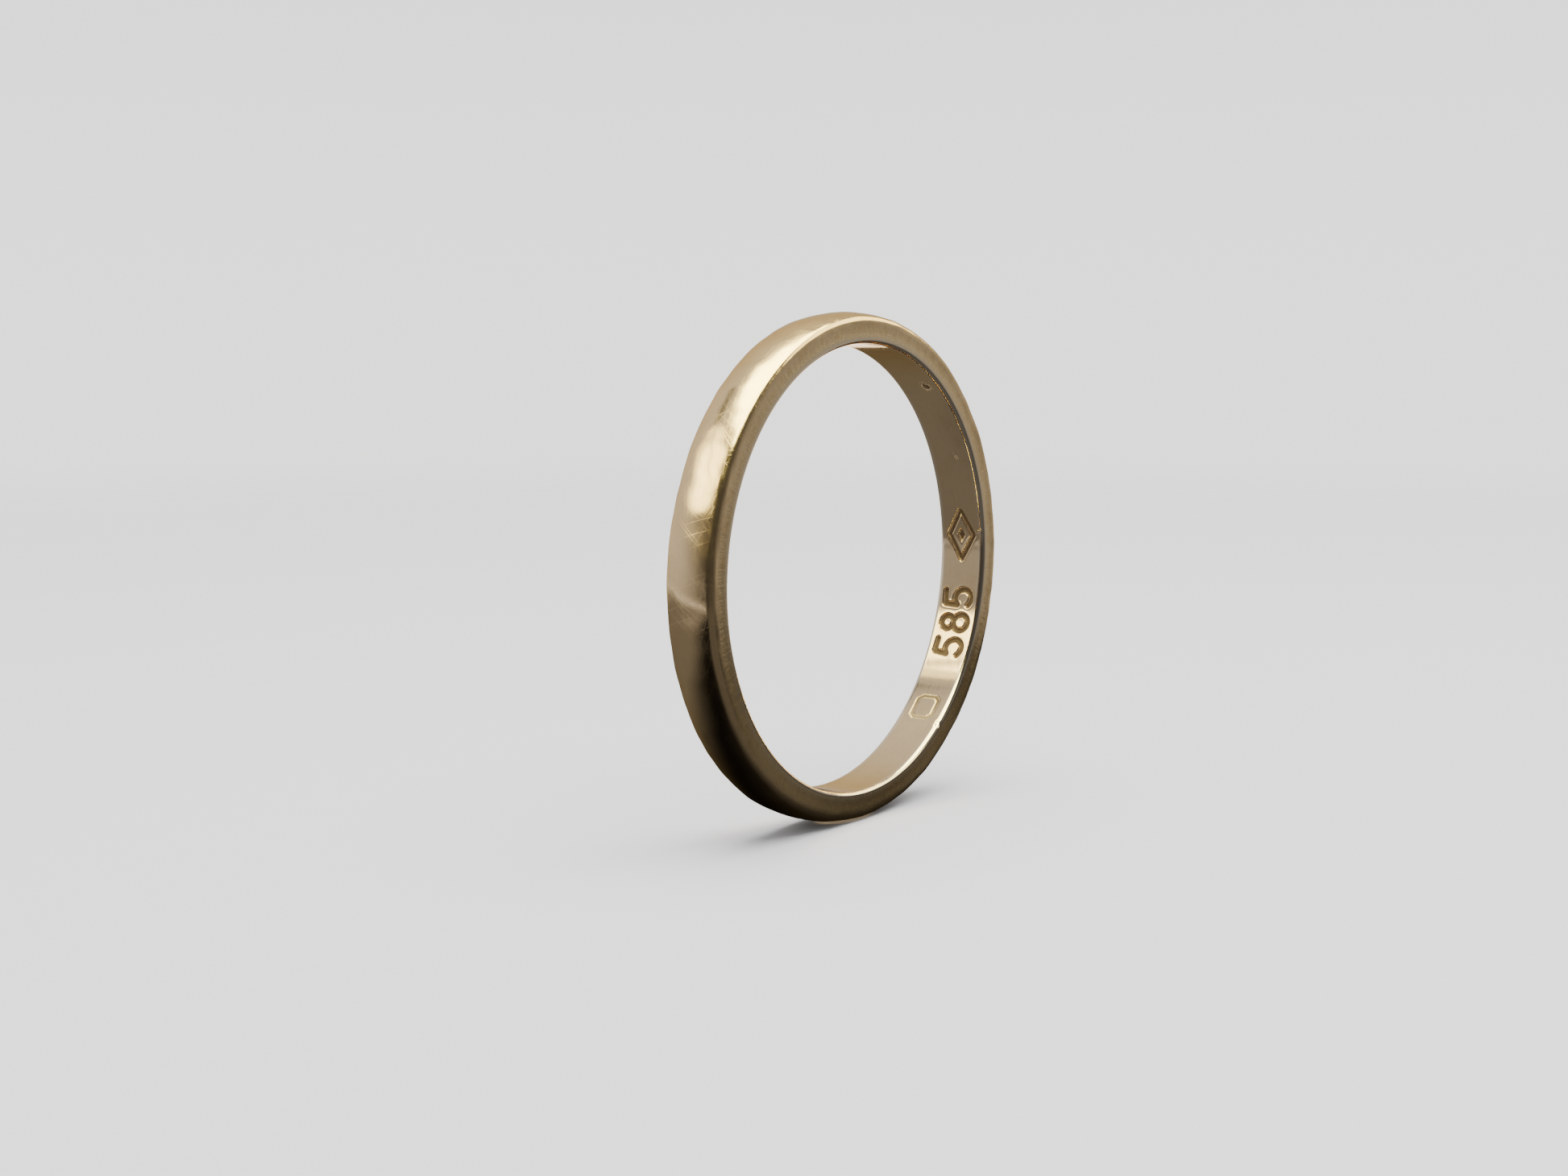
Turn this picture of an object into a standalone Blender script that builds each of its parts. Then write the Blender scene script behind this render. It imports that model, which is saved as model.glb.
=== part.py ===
"""A plain wedding band: one ring of solid gold with a low domed outside and two stamped marks in the bore.

Metres, +Z up. The ring stands upright with its centre at the origin and its axis along Y.
A place on the ring is an angle from +X towards +Z and a distance along Y.
"""

from math import asin, cos, pi, radians, sin, sqrt

import bmesh
import bpy
from mathutils import Matrix, Vector

MM = 0.001

# The ring
BORE_DIAMETER = 16.5 * MM
BAND_WIDTH = 2.0 * MM
SIDE_WALL = 0.96 * MM  # bore to dome at a side face, as if the corner between them were sharp
CROWN_RISE = 0.19 * MM  # how far the dome's crown stands above its edges
CORNER_RADIUS = 0.25 * MM  # between the dome and each side face
INNER_BREAK = 0.17 * MM  # radius between the bore and each side face

# The marks, punched into the bore: a lozenge and, before it round the ring, a number
MARK_DEPTH = 0.1 * MM
MARK_GAP = 0.88 * MM  # from the number's last space to the lozenge
DIGITS = "585"  # the gold's fineness, in thousandths
DIGIT_MARGIN = 0.23 * MM  # from a digit to the end of the bore's flat
DIGIT_SPACING = 0.85  # of a digit's height
LOZENGE_ANGLE = radians(4.2)
LOZENGE_LENGTH = 2.3 * MM
LOZENGE_MARGIN = 0.18 * MM  # from the lozenge to the end of the bore's flat
LOZENGE_LINE = 0.14 * MM  # width of the punched outline
LOZENGE_CENTRE = 0.5 * MM  # length of the small solid lozenge in its middle

# How finely curves are divided
RING_STEPS = 120
DOME_STEPS = 6
CORNER_STEPS = 4
BREAK_STEPS = 3
DIGIT_RESOLUTION = 3

GOLD_COLOUR = (0.76, 0.53, 0.29, 1.0)
GOLD_ROUGHNESS = 0.28
SMOOTH_ANGLE = radians(30)
WELD_DISTANCE = 0.001 * MM
CUTTER_REACH = 0.4 * MM  # how far a punch stands clear of the bore
FONT_DIGIT_HEIGHT = 0.69  # of the built-in font's digits, at size 1

BORE_RADIUS = BORE_DIAMETER / 2
HALF_WIDTH = BAND_WIDTH / 2
EDGE_RADIUS = BORE_RADIUS + SIDE_WALL
CROWN_RADIUS = EDGE_RADIUS + CROWN_RISE
MARK_RADIUS = BORE_RADIUS + MARK_DEPTH
BORE_FLAT = BAND_WIDTH - 2 * INNER_BREAK
DIGIT_HEIGHT = BORE_FLAT - 2 * DIGIT_MARGIN
DIGIT_PITCH = DIGIT_HEIGHT * DIGIT_SPACING
LOZENGE_WIDTH = BORE_FLAT - 2 * LOZENGE_MARGIN


def clear_scene():
    for obj in list(bpy.data.objects):
        bpy.data.objects.remove(obj, do_unlink=True)


def new_collection(name):
    collection = bpy.data.collections.new(name)
    bpy.context.scene.collection.children.link(collection)
    return collection


def gold():
    material = bpy.data.materials.new("gold")
    material.use_nodes = True
    shader = material.node_tree.nodes["Principled BSDF"]
    shader.inputs["Base Color"].default_value = GOLD_COLOUR
    shader.inputs["Metallic"].default_value = 1.0
    shader.inputs["Roughness"].default_value = GOLD_ROUGHNESS
    return material


def arc(centre, radius, start, end, steps):
    """Points (distance from the ring's axis, place along it). Angle 0 points away from the axis."""
    angles = [start + (end - start) * i / steps for i in range(steps + 1)]
    return [(centre[0] + radius * cos(a), centre[1] + radius * sin(a)) for a in angles]


def band_outline():
    """The ring's closed section: the dome, a side face, the bore and the other side face."""
    dome_radius = (HALF_WIDTH**2 + CROWN_RISE**2) / (2 * CROWN_RISE)
    dome_centre = CROWN_RADIUS - dome_radius
    # Each corner's arc touches a side face and, from inside, the dome.
    corner_along = HALF_WIDTH - CORNER_RADIUS
    corner_reach = dome_radius - CORNER_RADIUS
    corner_out = dome_centre + sqrt(corner_reach**2 - corner_along**2)
    dome_half = asin(corner_along / corner_reach)
    break_out = BORE_RADIUS + INNER_BREAK
    break_along = HALF_WIDTH - INNER_BREAK
    dome = arc((dome_centre, 0), dome_radius, dome_half, -dome_half, DOME_STEPS)
    low_corner = arc((corner_out, -corner_along), CORNER_RADIUS, -dome_half, -pi / 2, CORNER_STEPS)
    low_break = arc((break_out, -break_along), INNER_BREAK, -pi / 2, -pi, BREAK_STEPS)
    high_break = arc((break_out, break_along), INNER_BREAK, pi, pi / 2, BREAK_STEPS)
    high_corner = arc((corner_out, corner_along), CORNER_RADIUS, pi / 2, dome_half, CORNER_STEPS)
    return dome + low_corner[1:] + low_break + high_break + high_corner[:-1]


def turned_band(collection):
    """The ring before its marks: the outline turned about Y."""
    outline = band_outline()
    points = [(out, along, 0) for out, along in outline]
    edges = [(i, (i + 1) % len(points)) for i in range(len(points))]
    mesh = bpy.data.meshes.new("band")
    mesh.from_pydata(points, edges, [])
    mesh.materials.append(gold())
    band = bpy.data.objects.new("band", mesh)
    collection.objects.link(band)
    turn = band.modifiers.new("turn", "SCREW")
    turn.axis = "Y"
    turn.angle = 2 * pi
    turn.steps = turn.render_steps = RING_STEPS
    turn.use_smooth_shade = True
    return band


def on_bore(angle):
    """A frame on the bore: x runs round the ring, y along its axis and z towards its centre."""
    round_ring = Vector((-sin(angle), 0, cos(angle)))
    along_axis = Vector((0, 1, 0))
    inward = Vector((-cos(angle), 0, -sin(angle)))
    rotation = Matrix((round_ring, along_axis, inward)).transposed().to_4x4()
    return Matrix.Translation(-inward * BORE_RADIUS) @ rotation


def welded_mesh(outline, collection):
    """Replaces a curve or text object with its closed mesh, in the same place."""
    bpy.context.view_layer.update()
    graph = bpy.context.evaluated_depsgraph_get()
    mesh = bpy.data.meshes.new_from_object(outline.evaluated_get(graph))
    work = bmesh.new()
    work.from_mesh(mesh)
    bmesh.ops.remove_doubles(work, verts=work.verts, dist=WELD_DISTANCE)
    bmesh.ops.recalc_face_normals(work, faces=work.faces)
    work.to_mesh(mesh)
    work.free()
    punch = bpy.data.objects.new(outline.data.name, mesh)
    punch.matrix_world = outline.matrix_world
    collection.objects.link(punch)
    bpy.data.objects.remove(outline, do_unlink=True)
    return punch


def digit_punch(digit, name, angle, collection):
    text = bpy.data.curves.new(name, "FONT")
    text.body = digit
    text.size = DIGIT_HEIGHT / FONT_DIGIT_HEIGHT
    text.align_x = "CENTER"
    text.offset_y = -DIGIT_HEIGHT / 2
    text.resolution_u = DIGIT_RESOLUTION
    text.extrude = CUTTER_REACH
    outline = bpy.data.objects.new(name, text)
    outline.matrix_world = on_bore(angle)
    collection.objects.link(outline)
    return welded_mesh(outline, collection)


def lozenge_punch(name, angle, collection):
    """A lozenge in outline with a small solid one in its middle: nested splines fill by turns."""
    curve = bpy.data.curves.new(name, "CURVE")
    curve.dimensions = "2D"
    curve.fill_mode = "BOTH"
    curve.extrude = CUTTER_REACH
    # A line of the same width all round takes this much off the lozenge's length.
    line_on_length = 2 * LOZENGE_LINE * sqrt(1 + (LOZENGE_LENGTH / LOZENGE_WIDTH) ** 2)
    for length in (LOZENGE_LENGTH, LOZENGE_LENGTH - line_on_length, LOZENGE_CENTRE):
        width = length * LOZENGE_WIDTH / LOZENGE_LENGTH
        corners = [(length / 2, 0), (0, width / 2), (-length / 2, 0), (0, -width / 2)]
        spline = curve.splines.new("POLY")
        spline.points.add(len(corners) - 1)
        for point, (x, y) in zip(spline.points, corners):
            point.co = (x, y, 0, 1)
        spline.use_cyclic_u = True
    outline = bpy.data.objects.new(name, curve)
    outline.matrix_world = on_bore(angle)
    collection.objects.link(outline)
    return welded_mesh(outline, collection)


def mark_floor(collection):
    """A drum inside the ring, whose wall is where the punches stop."""
    mesh = bpy.data.meshes.new("mark_floor")
    work = bmesh.new()
    bmesh.ops.create_cone(
        work,
        cap_ends=True,
        segments=RING_STEPS,
        radius1=MARK_RADIUS,
        radius2=MARK_RADIUS,
        depth=2 * BAND_WIDTH,
        matrix=Matrix.Rotation(pi / 2, 4, "X"),
    )
    work.to_mesh(mesh)
    work.free()
    drum = bpy.data.objects.new("mark_floor", mesh)
    collection.objects.link(drum)
    return drum


def combine(obj, other, operation):
    modifier = obj.modifiers.new(other.name, "BOOLEAN")
    modifier.operation = operation
    modifier.solver = "EXACT"
    modifier.object = other


def punch_marks(band, collection):
    floor = mark_floor(collection)
    punches = [lozenge_punch("lozenge", LOZENGE_ANGLE, collection)]
    from_lozenge = LOZENGE_LENGTH / 2 + MARK_GAP + DIGIT_PITCH / 2
    for i, digit in enumerate(reversed(DIGITS)):
        angle = LOZENGE_ANGLE - (from_lozenge + DIGIT_PITCH * i) / BORE_RADIUS
        punches.append(digit_punch(digit, f"digit_{i + 1}", angle, collection))
    for punch in punches:
        combine(punch, floor, "INTERSECT")
        combine(band, punch, "DIFFERENCE")
    for cutter in [floor, *punches]:
        cutter.hide_render = True
        cutter.display_type = "WIRE"


def main():
    clear_scene()
    band = turned_band(new_collection("wedding_band"))
    punch_marks(band, new_collection("cutters"))
    band.data.shade_smooth()
    band.data.set_sharp_from_angle(angle=SMOOTH_ANGLE)
    print(f"bore {BORE_DIAMETER / MM:.2f} mm, outside {2 * CROWN_RADIUS / MM:.2f} mm")


main()
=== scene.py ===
"""A plain wedding band in worn yellow gold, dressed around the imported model.

The band replaces the CAD ring with a finer one of the same section: a low domed outside, satin side
faces, broken inner edges and a polished bore with two punched marks. A place on the ring is an angle
from +X towards +Z and a distance along Y. Lengths are in metres.
"""

import logging
from collections.abc import Iterator, Sequence
from dataclasses import dataclass, field
from enum import Enum
from math import asin, cos, hypot, pi, radians, sin, sqrt, tan
from typing import Any, Union

import bpy
import numpy as np
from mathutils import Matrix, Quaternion, Vector


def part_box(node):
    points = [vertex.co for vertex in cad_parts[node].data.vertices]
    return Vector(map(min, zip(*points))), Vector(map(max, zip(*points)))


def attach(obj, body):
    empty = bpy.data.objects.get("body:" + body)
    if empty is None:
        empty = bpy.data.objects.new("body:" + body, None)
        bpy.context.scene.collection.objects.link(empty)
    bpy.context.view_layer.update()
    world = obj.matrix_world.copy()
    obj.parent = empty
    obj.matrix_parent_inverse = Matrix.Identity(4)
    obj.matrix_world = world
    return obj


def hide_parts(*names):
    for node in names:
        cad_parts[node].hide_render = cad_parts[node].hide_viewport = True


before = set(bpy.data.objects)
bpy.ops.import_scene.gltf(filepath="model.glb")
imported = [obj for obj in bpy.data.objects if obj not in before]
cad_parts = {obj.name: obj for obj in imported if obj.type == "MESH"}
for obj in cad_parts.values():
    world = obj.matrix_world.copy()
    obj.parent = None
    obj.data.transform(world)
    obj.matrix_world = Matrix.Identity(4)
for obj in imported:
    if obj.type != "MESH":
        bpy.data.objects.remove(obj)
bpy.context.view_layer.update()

MM = 0.001
DEGREE = pi / 180
log = logging.getLogger("wedding_band")

Number = Union[int, float]
Point2 = tuple[float, float]
Colour = tuple[float, float, float]


def placed(name: str, data: bpy.types.ID) -> bpy.types.Object:
    """A new object in the scene that shows this data."""
    made = bpy.data.objects.new(name, data)
    bpy.context.scene.collection.objects.link(made)
    return made


# ---- Shader maths ----


class Value:
    """A number in a shader tree. Arithmetic on it adds Math nodes."""

    def __init__(self, tree: "Tree", socket: bpy.types.NodeSocket) -> None:
        """Wraps an output of the tree that carries a number."""
        self.tree = tree
        self.socket = socket

    def _math(self, operation: str, *operands: "Value | Number") -> "Value":
        """The result of one Math node with these inputs."""
        node = self.tree.node("ShaderNodeMath", {"operation": operation}, dict(enumerate(operands)))
        return Value(self.tree, node.outputs[0])

    def __add__(self, other: "Value | Number") -> "Value":
        """self + other."""
        return self._math("ADD", self, other)

    def __radd__(self, other: Number) -> "Value":
        """other + self."""
        return self._math("ADD", other, self)

    def __sub__(self, other: "Value | Number") -> "Value":
        """self - other."""
        return self._math("SUBTRACT", self, other)

    def __rsub__(self, other: Number) -> "Value":
        """other - self."""
        return self._math("SUBTRACT", other, self)

    def __mul__(self, other: "Value | Number") -> "Value":
        """self * other."""
        return self._math("MULTIPLY", self, other)

    def __rmul__(self, other: Number) -> "Value":
        """other * self."""
        return self._math("MULTIPLY", other, self)

    def __truediv__(self, other: "Value | Number") -> "Value":
        """self / other."""
        return self._math("DIVIDE", self, other)

    def __rtruediv__(self, other: Number) -> "Value":
        """other / self."""
        return self._math("DIVIDE", other, self)

    def __pow__(self, other: "Value | Number") -> "Value":
        """self ** other."""
        return self._math("POWER", self, other)

    def __rpow__(self, other: Number) -> "Value":
        """other ** self."""
        return self._math("POWER", other, self)

    def angle_from(self, other: "Value") -> "Value":
        """The angle whose sine runs as self and whose cosine runs as other."""
        return self._math("ARCTAN2", self, other)

    def greater(self, other: "Value | Number") -> "Value":
        """The larger of the two."""
        return self._math("MAXIMUM", self, other)

    def between(self, low: Number, high: Number) -> "Value":
        """A smooth rise from 0 at low to 1 at high, or a fall if high is the smaller."""
        node = self.tree.node(
            "ShaderNodeMapRange",
            {"interpolation_type": "SMOOTHSTEP", "clamp": True},
            {"Value": self, "From Min": low, "From Max": high},
        )
        return Value(self.tree, node.outputs["Result"])


class Tree:
    """A shader node tree that is filled by expressions."""

    MIX_COLOURS = (6, 7)
    MIXED_COLOUR = 2
    NOISE_ROUGHNESS = 0.55

    def __init__(self, tree: bpy.types.NodeTree) -> None:
        """Takes the tree to fill."""
        self.tree = tree

    @classmethod
    def of_material(cls, material: bpy.types.Material | bpy.types.World) -> "Tree":
        """The emptied tree of a material or a world."""
        material.use_nodes = True
        material.node_tree.nodes.clear()
        return cls(material.node_tree)

    def node(
        self,
        kind: str,
        settings: dict[str, Any] | None = None,
        inputs: dict[str | int, Any] | None = None,
    ) -> bpy.types.Node:
        """Adds a node.

        Args:
            kind: the node's type, such as ShaderNodeTexNoise.
            settings: properties set first. The key stops takes a ramp's places and colours.
            inputs: a number, a tuple, a Value or a socket for each input, by name or index.

        Returns:
            The node.
        """
        made = self.tree.nodes.new(kind)
        for name, value in (settings or {}).items():
            if name == "stops":
                self._set_stops(made.color_ramp, value)
            else:
                setattr(made, name, value)
        for key, value in (inputs or {}).items():
            socket = made.inputs[key]
            if isinstance(value, Value):
                self.tree.links.new(value.socket, socket)
            elif isinstance(value, bpy.types.NodeSocket):
                self.tree.links.new(value, socket)
            else:
                socket.default_value = value
        return made

    @staticmethod
    def _set_stops(ramp: bpy.types.ColorRamp, stops: Sequence[tuple[float, Colour]]) -> None:
        """Sets a ramp's stops.

        Args:
            ramp: the ramp, with its two default stops.
            stops: places in rising order, each with a colour.
        """
        while len(ramp.elements) < len(stops):
            ramp.elements.new(1.0)
        for element, (place, colour) in zip(ramp.elements, stops):
            element.position = place
            element.color = (*colour, 1.0)

    def mix(self, factor: "Value | Number", low: Any, high: Any) -> bpy.types.NodeSocket:
        """Blends two colours.

        Args:
            factor: 0 gives low and 1 gives high.
            low: a colour or a colour socket.
            high: a colour or a colour socket.

        Returns:
            The blended colour's socket.
        """
        sides = [side if isinstance(side, bpy.types.NodeSocket) else (*side, 1.0) for side in (low, high)]
        inputs = {0: factor, **dict(zip(self.MIX_COLOURS, sides))}
        return self.node("ShaderNodeMix", {"data_type": "RGBA"}, inputs).outputs[self.MIXED_COLOUR]

    def vector(self, *parts: "Value | Number") -> bpy.types.NodeSocket:
        """A vector from three numbers."""
        return self.node("ShaderNodeCombineXYZ", None, dict(enumerate(parts))).outputs[0]

    def place(self, kind: str = "Object") -> list[Value]:
        """The x, y and z of a place, in the coordinates of this kind."""
        place = self.node("ShaderNodeTexCoord").outputs[kind]
        return [Value(self, part) for part in self.node("ShaderNodeSeparateXYZ", None, {0: place}).outputs]

    def noise(self, vector: bpy.types.NodeSocket, scale: float, detail: float) -> Value:
        """Soft noise from 0 to 1, near 0.5, with so many features for each unit of the vector."""
        inputs = {"Vector": vector, "Scale": scale, "Detail": detail, "Roughness": self.NOISE_ROUGHNESS}
        return Value(self, self.node("ShaderNodeTexNoise", None, inputs).outputs["Fac"])

    def attribute(self, name: str) -> Value:
        """A number stored on the mesh under this name."""
        return Value(self, self.node("ShaderNodeAttribute", {"attribute_name": name}).outputs["Fac"])


# ---- The ring's section ----


class Zone(Enum):
    """The surfaces met on the way round the section."""

    DOME = "dome"
    CORNER = "corner"
    SIDE = "side"
    BREAK = "break"
    BORE = "bore"


@dataclass(frozen=True)
class Station:
    """One point of the section.

    Attributes:
        out: distance from the ring's axis.
        along: place along the axis.
        normal: the surface's direction there, as (out, along).
        zone: the surface that it lies on.
    """

    out: float
    along: float
    normal: Point2
    zone: Zone


@dataclass(frozen=True)
class Section:
    """The ring's section, which is the CAD ring's with more points."""

    bore_radius: float
    half_width: float
    side_wall: float
    crown_rise: float
    corner_radius: float
    inner_break: float
    dome_steps: int = 34
    corner_steps: int = 9
    side_steps: int = 8
    break_steps: int = 8
    bore_steps: int = 58

    def _arc(
        self, centre: Point2, radius: float, span: Point2, steps: int, zone: Zone
    ) -> Iterator[Station]:
        """Stations along an arc, both ends included. Angle 0 points away from the axis."""
        for i in range(steps + 1):
            angle = span[0] + (span[1] - span[0]) * i / steps
            normal = (cos(angle), sin(angle))
            out, along = centre[0] + radius * normal[0], centre[1] + radius * normal[1]
            yield Station(out, along, normal, zone)

    def _line(
        self, start: Point2, end: Point2, normal: Point2, steps: int, zone: Zone
    ) -> Iterator[Station]:
        """Stations between the ends of a straight stretch, both ends left out."""
        for i in range(1, steps):
            share = i / steps
            out = start[0] + (end[0] - start[0]) * share
            along = start[1] + (end[1] - start[1]) * share
            yield Station(out, along, normal, zone)

    def stations(self) -> list[Station]:
        """The closed section: dome, front side, bore and back side.

        Returns:
            The stations in order. The last one is joined to the first.
        """
        crown = self.bore_radius + self.side_wall + self.crown_rise
        dome_radius = (self.half_width**2 + self.crown_rise**2) / (2 * self.crown_rise)
        dome_centre = crown - dome_radius
        corner_along = self.half_width - self.corner_radius
        reach = dome_radius - self.corner_radius
        corner_out = dome_centre + sqrt(reach**2 - corner_along**2)
        dome_half = asin(corner_along / reach)
        break_out = self.bore_radius + self.inner_break
        break_along = self.half_width - self.inner_break
        corner, edge = self.corner_radius, self.inner_break
        dome_span = (dome_half, -dome_half)
        found = list(self._arc((dome_centre, 0), dome_radius, dome_span, self.dome_steps, Zone.DOME))
        low_corner = (corner_out, -corner_along), corner, (-dome_half, -pi / 2)
        found += list(self._arc(*low_corner, self.corner_steps, Zone.CORNER))[1:]
        low_side = (corner_out, -self.half_width), (break_out, -self.half_width)
        found += self._line(*low_side, (0, -1), self.side_steps, Zone.SIDE)
        found += self._arc((break_out, -break_along), edge, (-pi / 2, -pi), self.break_steps, Zone.BREAK)
        bore = (self.bore_radius, -break_along), (self.bore_radius, break_along)
        found += self._line(*bore, (-1, 0), self.bore_steps, Zone.BORE)
        found += self._arc((break_out, break_along), edge, (pi, pi / 2), self.break_steps, Zone.BREAK)
        high_side = (break_out, self.half_width), (corner_out, self.half_width)
        found += self._line(*high_side, (0, 1), self.side_steps, Zone.SIDE)
        high_corner = (corner_out, corner_along), corner, (pi / 2, dome_half)
        found += list(self._arc(*high_corner, self.corner_steps, Zone.CORNER))[:-1]
        return found


# ---- The punched marks ----


def distance_to_path(places: np.ndarray, path: Sequence[Point2]) -> np.ndarray:
    """How far each place is from a path of straight pieces.

    Args:
        places: an array whose last axis holds x and y.
        path: the path's corners.

    Returns:
        The distances.
    """
    corners = np.asarray(path, float)
    start, step = corners[:-1], np.diff(corners, axis=0)
    offset = places[..., None, :] - start
    length = np.maximum((step**2).sum(-1), 1e-18)
    share = np.clip((offset * step).sum(-1) / length, 0.0, 1.0)
    return np.linalg.norm(offset - share[..., None] * step, axis=-1).min(-1)


def arc_path(centre: Point2, radius: float, start: float, end: float, steps: int = 20) -> list[Point2]:
    """Corners along an arc, with its angles in degrees."""
    angles = [radians(start + (end - start) * i / steps) for i in range(steps + 1)]
    return [(centre[0] + radius * cos(a), centre[1] + radius * sin(a)) for a in angles]


CELL: Point2 = (0.6, 1.0)


class Digit(Enum):
    """The digits of the number, as paths in a cell of CELL's width and height."""

    FIVE = "5"
    EIGHT = "8"

    def paths(self) -> list[list[Point2]]:
        """The strokes that make the digit."""
        if self is Digit.FIVE:
            bowl = arc_path((0.27, 0.31), 0.3, 136, -140)
            return [[(0.54, 0.98), (0.1, 0.98), bowl[0]], bowl]
        return [arc_path((0.3, 0.76), 0.22, 0, 360), arc_path((0.3, 0.27), 0.27, 0, 360)]


@dataclass(frozen=True)
class Number585:
    """The gold's fineness, in thousandths, punched one digit at a time."""

    end_arc: float
    height: float
    digits: tuple[Digit, ...] = (Digit.FIVE, Digit.EIGHT, Digit.FIVE)
    spacing: float = 0.85
    line: float = 0.2 * MM
    tilts: tuple[float, ...] = (-2.0, 1.5, 3.0)

    @property
    def start_arc(self) -> float:
        """Where the first digit's cell starts."""
        return self.end_arc - self.height * self.spacing * len(self.digits)

    def distance(self, places: np.ndarray) -> np.ndarray:
        """Distance from the strokes' edges, below 0 inside them.

        Args:
            places: the last axis holds the arc along the bore and the place along the axis.

        Returns:
            The distances.
        """
        nearest = np.full(places.shape[:-1], 1.0)
        for i, (digit, tilt) in enumerate(zip(self.digits, self.tilts)):
            middle = self.start_arc + self.height * self.spacing * (i + 0.5)
            turn = radians(tilt)
            x = (places[..., 0] - middle) / self.height
            y = places[..., 1] / self.height
            turned = np.stack([x * cos(turn) + y * sin(turn), y * cos(turn) - x * sin(turn)], -1)
            cell = turned + np.array(CELL) / 2
            for path in digit.paths():
                nearest = np.minimum(nearest, distance_to_path(cell, path) * self.height)
        return nearest - self.line / 2


@dataclass(frozen=True)
class Lozenge:
    """A lozenge in outline with a small solid one in its middle."""

    middle_arc: float
    length: float
    width: float
    line: float = 0.16 * MM
    centre_length: float = 0.5 * MM

    def distance(self, places: np.ndarray) -> np.ndarray:
        """Distance from the punched shapes' edges, below 0 inside them.

        Args:
            places: the last axis holds the arc along the bore and the place along the axis.

        Returns:
            The distances.
        """
        local = places - np.array([self.middle_arc, 0.0])
        inset = self.line / 2 * hypot(self.length, self.width) / self.width
        half_length = self.length / 2 - inset
        half_width = half_length * self.width / self.length
        corners = [(half_length, 0), (0, half_width), (-half_length, 0), (0, -half_width), (half_length, 0)]
        outline = distance_to_path(local, corners) - self.line / 2
        slope = self.width / hypot(self.length, self.width)
        solid = np.abs(local[..., 0]) + np.abs(local[..., 1]) * self.length / self.width
        return np.minimum(outline, (solid - self.centre_length / 2) * slope)


@dataclass(frozen=True)
class WornPunch:
    """The outline of a plain eight-sided punch that polishing has almost worn away.

    Attributes:
        middle_arc: its middle, as an arc along the bore.
        middle_along: its middle along the axis.
        size: half its length and half its width.
        line: the stroke's width.
        depth: how deep the stroke still is.
        slope: how far the stroke's sides reach.
        outline: half of its corners, as shares of its size. The others lie opposite.
        fading: half of the share by which the stroke comes and goes.
        fading_length: the length over which it does.
    """

    middle_arc: float
    middle_along: float = 0.02 * MM
    size: Point2 = (0.52 * MM, 0.46 * MM)
    line: float = 0.08 * MM
    depth: float = 0.004 * MM
    slope: float = 0.09 * MM
    outline: tuple[Point2, ...] = ((1.0, -0.6), (1.0, 0.6), (0.7, 1.0), (-0.7, 1.0))
    fading: float = 0.1
    fading_length: float = 0.21 * MM

    def share(self, places: np.ndarray) -> np.ndarray:
        """How deep each place is, from 0 on the surface to 1 on the stroke's floor.

        Args:
            places: the last axis holds the arc along the bore and the place along the axis.

        Returns:
            The shares.
        """
        local = (places - np.array([self.middle_arc, self.middle_along])) / np.array(self.size)
        opposite = [(-x, -y) for x, y in self.outline]
        path = [*self.outline, *opposite, self.outline[0]]
        far = distance_to_path(local, path) * min(self.size) - self.line / 2
        faded = 1.0 - self.fading * (1.0 - np.sin(places[..., 0] / self.fading_length + 1.0))
        return np.clip((self.slope - far) / self.slope, 0.0, 1.0) ** 2 * faded


# ---- Wear ----


@dataclass(frozen=True)
class Dent:
    """A small hollow.

    Attributes:
        angle: where it lies round the ring, in degrees.
        along: where it lies along the axis.
        zones: the surfaces that it marks.
        size: its half width.
        depth: how deep it goes.
        shaded: how much shade is painted into it, from 0 to 1.
    """

    angle: float
    along: float
    zones: tuple[Zone, ...]
    size: float
    depth: float
    shaded: float = 0.0


@dataclass(frozen=True)
class Wave:
    """One of the long, faint waves that polishing by hand leaves.

    Attributes:
        round_ring: its crests round the ring.
        across: how far its phase turns over half the band's width.
        phase: where it starts.
        height: its height.
    """

    round_ring: int
    across: float
    phase: float
    height: float


@dataclass(frozen=True)
class WaveBand:
    """Waves of similar lengths.

    Attributes:
        number: how many there are.
        fewest: the fewest crests that one has round the ring.
        most: one more than the most crests that one has.
        height: the height of a wave with the fewest crests.
    """

    number: int
    fewest: int
    most: int
    height: float


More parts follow.
